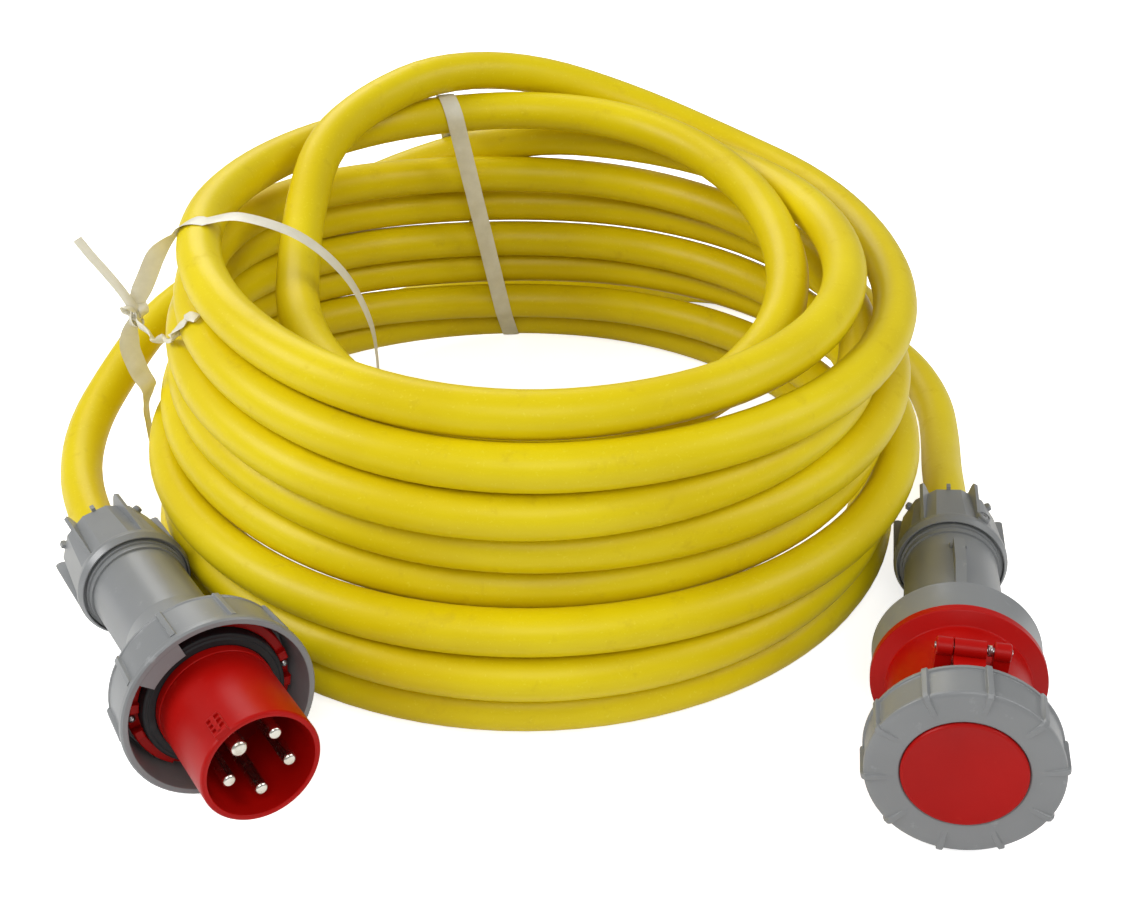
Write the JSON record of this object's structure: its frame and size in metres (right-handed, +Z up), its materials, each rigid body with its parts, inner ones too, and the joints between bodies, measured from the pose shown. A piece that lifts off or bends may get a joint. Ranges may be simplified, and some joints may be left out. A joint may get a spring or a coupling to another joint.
{
  "type": "shore power cord",
  "caption": "Thick yellow rubber shore power cord in a tied coil, with a grey and red pin plug at one end and a grey and red socket connector with a sprung, ring-locked lid at the other",
  "frame": {"origin": "middle of the footprint of the whole part, on the plane that it lies on", "axes": "+Z up, -Y the way both ends point, towards the viewer, +X towards the connector"},
  "size_m": [0.7069, 0.7486, 0.278],
  "materials": {
    "cable_rubber": "matt yellow, slightly scuffed",
    "grey_plastic": "satin light grey",
    "red_plastic": "satin signal red",
    "dark_red_plastic": "matt dark red",
    "black_rubber": "matt black",
    "nickel": "nickel plated, satin",
    "steel": "bright zinc plated",
    "strap_plastic": "cloudy white strapping",
    "core_insulation": "matt dark brown"
  },
  "bodies": {
    "cord": {"cable_coil": "cable_rubber", "cable_tail_connector": "cable_rubber", "cable_tail_plug": "cable_rubber", "connector_cable_end": "cable_rubber", "connector_cable_seal": "black_rubber", "connector_collar": "red_plastic", "connector_contact_carrier": "dark_red_plastic", "connector_cores": "core_insulation", "connector_earth_sleeve": "nickel", "connector_housing": "grey_plastic", "connector_phase_sleeve_1": "nickel", "connector_phase_sleeve_2": "nickel", "connector_phase_sleeve_3": "nickel", "connector_phase_sleeve_4": "nickel", "lid_hinge_pin": "steel", "lid_hinge_spring": "steel", "plug_cable_end": "cable_rubber", "plug_cable_seal": "black_rubber", "plug_contact_carrier": "dark_red_plastic", "plug_cores": "core_insulation", "plug_earth_pin": "nickel", "plug_flange_gasket": "black_rubber", "plug_flange_screws": "steel", "plug_housing": "grey_plastic", "plug_insert": "red_plastic", "plug_phase_pin_1": "nickel", "plug_phase_pin_2": "nickel", "plug_phase_pin_3": "nickel", "plug_phase_pin_4": "nickel", "tie_strap_back": "strap_plastic", "tie_strap_left": "strap_plastic"},
    "plug_thrust": {"plug_thrust_ring": "grey_plastic"},
    "plug_nut": {"plug_gland_nut": "grey_plastic"},
    "plug_ring": {"plug_locking_ring": "grey_plastic"},
    "connector_thrust": {"connector_thrust_ring": "grey_plastic"},
    "connector_nut": {"connector_gland_nut": "grey_plastic"},
    "lid": {"lid": "red_plastic", "lid_gasket": "black_rubber"},
    "lid_ring": {"lid_locking_ring": "grey_plastic"}
  },
  "joints": [
    {"name": "plug_thrust_slide", "type": "slide", "parent": "cord", "child": "plug_thrust", "axis": [-0.5239, 0.8482, -0.0785], "range_m": [0, 0.006]},
    {"name": "plug_nut_turn", "type": "hinge", "parent": "plug_thrust", "child": "plug_nut", "pos_m": [-0.26071, -0.16097, 0.0476], "axis": [-0.5239, 0.8482, -0.0785], "range_deg": [0, 720]},
    {"name": "connector_thrust_slide", "type": "slide", "parent": "cord", "child": "connector_thrust", "axis": [0.1834, 0.9798, -0.0802], "range_m": [0, 0.006]},
    {"name": "connector_nut_turn", "type": "hinge", "parent": "connector_thrust", "child": "connector_nut", "pos_m": [0.29459, -0.13017, 0.0414], "axis": [0.1834, 0.9798, -0.0802], "range_deg": [0, 720]},
    {"name": "plug_ring_turn", "type": "hinge", "parent": "cord", "child": "plug_ring", "pos_m": [-0.18213, -0.2882, 0.05937], "axis": [0.5239, -0.8482, 0.0785], "range_deg": [0, 45]},
    {"name": "lid_hinge", "type": "hinge", "parent": "cord", "child": "lid", "pos_m": [0.26163, -0.30627, 0.10899], "axis": [-0.9829, 0.184, 0], "range_deg": [0, 110], "stiffness_Nm_per_rad": 0.03, "springref_deg": -28.65},
    {"name": "lid_ring_turn", "type": "hinge", "parent": "lid", "child": "lid_ring", "pos_m": [0.25517, -0.34082, 0.05864], "axis": [0.1834, 0.9798, -0.0802], "range_deg": [0, 45]}
  ],
  "couplings": [
    {"joint": "plug_thrust_slide", "follows": "plug_nut_turn", "m_per_rad": 0.00047746},
    {"joint": "connector_thrust_slide", "follows": "connector_nut_turn", "m_per_rad": 0.00047746}
  ]
}
